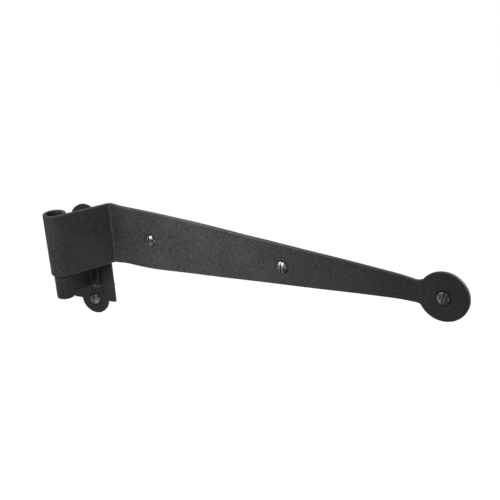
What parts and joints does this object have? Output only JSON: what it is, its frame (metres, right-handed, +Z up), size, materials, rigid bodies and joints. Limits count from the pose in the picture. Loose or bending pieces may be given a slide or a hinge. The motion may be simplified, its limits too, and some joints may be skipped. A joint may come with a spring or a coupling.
{
  "type": "strap hinge",
  "caption": "Offset strap hinge with a rolled barrel that drops onto an upright pintle pin; the pin stands in an arm on an eared wall plate.",
  "frame": {"origin": "centre of the base plate's back face, where it bears on the wall", "axes": "+Z up along the pin, +Y into the wall, +X toward the strap's round end"},
  "size_m": [0.381, 0.0939, 0.1157],
  "materials": {
    "strap_coat": "satin black powder coat",
    "bracket_coat": "satin black powder coat",
    "weld_coat": "glossy black where the coat has pooled on the bead",
    "pin_steel": "turned steel",
    "washer_steel": "dull zinc",
    "screw_steel": "blackened, rubbed bright on the head"
  },
  "bodies": {
    "bracket": {"base_plate": "bracket_coat", "bracket_arm": "bracket_coat", "pintle_pin": "pin_steel", "weld_right_upper": "weld_coat", "weld_right_lower": "weld_coat", "weld_left_upper": "weld_coat", "weld_left_lower": "weld_coat", "bracket_screw_upper": "screw_steel", "bracket_screw_lower": "screw_steel"},
    "washer": {"thrust_washer": "washer_steel"},
    "strap": {"strap_leaf": "strap_coat", "strap_screw_bend": "screw_steel", "strap_screw_middle": "screw_steel", "strap_screw_end": "screw_steel"}
  },
  "joints": [
    {"name": "strap_swing", "type": "hinge", "parent": "bracket", "child": "washer", "pos_m": [-0.0013, -0.0432, 0.00265], "axis": [0, 0, -1], "range_deg": [-9, 171]},
    {"name": "strap_lift", "type": "slide", "parent": "washer", "child": "strap", "axis": [0, 0, 1], "range_m": [0, 0.055]}
  ]
}
